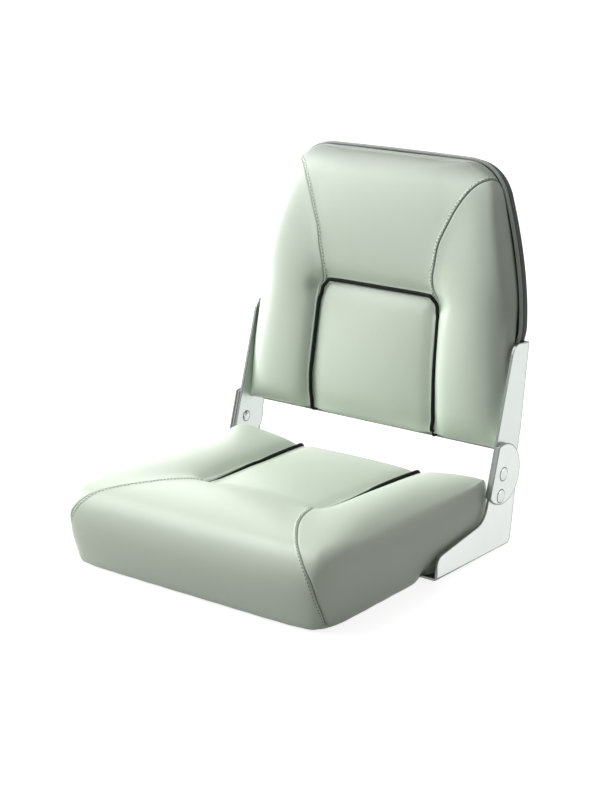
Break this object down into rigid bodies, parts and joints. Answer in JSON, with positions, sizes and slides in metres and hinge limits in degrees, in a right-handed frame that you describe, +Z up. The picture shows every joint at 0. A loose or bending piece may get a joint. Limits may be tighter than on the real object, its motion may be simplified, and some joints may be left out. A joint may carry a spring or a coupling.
{
  "type": "folding boat seat",
  "caption": "Low folding boat seat with a padded seat and back, joined by sheet-metal side hinges so that the back folds forward onto the seat.",
  "frame": {"origin": "bottom centre of the object's box, in the plane the lower arms' flanges rest on", "axes": "+Z up, -Y the way the sitter faces, +X towards the sitter's left hand, which is the right side seen from the front"},
  "size_m": [0.43, 0.4724, 0.4845],
  "materials": {
    "seat_vinyl": "satin marine vinyl with a fine grain, light grey with a green cast",
    "back_vinyl": "satin marine vinyl with a fine grain, light grey with a green cast",
    "dark_piping": "satin dark green-grey vinyl cord cover",
    "light_piping": "satin light grey vinyl cord cover",
    "rear_vinyl": "matte dark grey vinyl",
    "board": "sealed plywood",
    "hinge_metal": "satin anodised sheet",
    "rivet_metal": "smooth, low domed heads",
    "screw_metal": "plain stainless",
    "bush_nylon": "plain moulded"
  },
  "bodies": {
    "seat_base": {"seat_cushion": "seat_vinyl", "seat_board": "board", "seat_piping_left": "dark_piping", "seat_piping_right": "dark_piping", "tee_nut_front_left": "screw_metal", "tee_nut_front_right": "screw_metal", "tee_nut_rear_left": "screw_metal", "tee_nut_rear_right": "screw_metal", "lower_arm_left": "hinge_metal", "lower_arm_right": "hinge_metal", "lower_arm_screw_left_1": "screw_metal", "lower_arm_screw_left_2": "screw_metal", "lower_arm_screw_left_3": "screw_metal", "lower_arm_screw_right_1": "screw_metal", "lower_arm_screw_right_2": "screw_metal", "lower_arm_screw_right_3": "screw_metal", "pivot_bush_left": "bush_nylon", "pivot_bush_right": "bush_nylon"},
    "back": {"back_cushion": "back_vinyl", "back_board": "board", "back_rear_cover": "rear_vinyl", "back_centre_piping": "dark_piping", "back_perimeter_piping": "light_piping", "upper_arm_left": "hinge_metal", "upper_arm_right": "hinge_metal", "hinge_cheek_left": "hinge_metal", "hinge_cheek_right": "hinge_metal", "pivot_rivet_left": "rivet_metal", "pivot_rivet_right": "rivet_metal", "guide_rivet_left": "rivet_metal", "guide_rivet_right": "rivet_metal", "upper_arm_screw_left_1": "screw_metal", "upper_arm_screw_left_2": "screw_metal", "upper_arm_screw_left_3": "screw_metal", "upper_arm_screw_right_1": "screw_metal", "upper_arm_screw_right_2": "screw_metal", "upper_arm_screw_right_3": "screw_metal"}
  },
  "joints": [
    {"name": "back_fold", "type": "hinge", "parent": "seat_base", "child": "back", "pos_m": [0, 0.142, 0.0995], "axis": [1, 0, 0], "range_deg": [0, 85]}
  ]
}
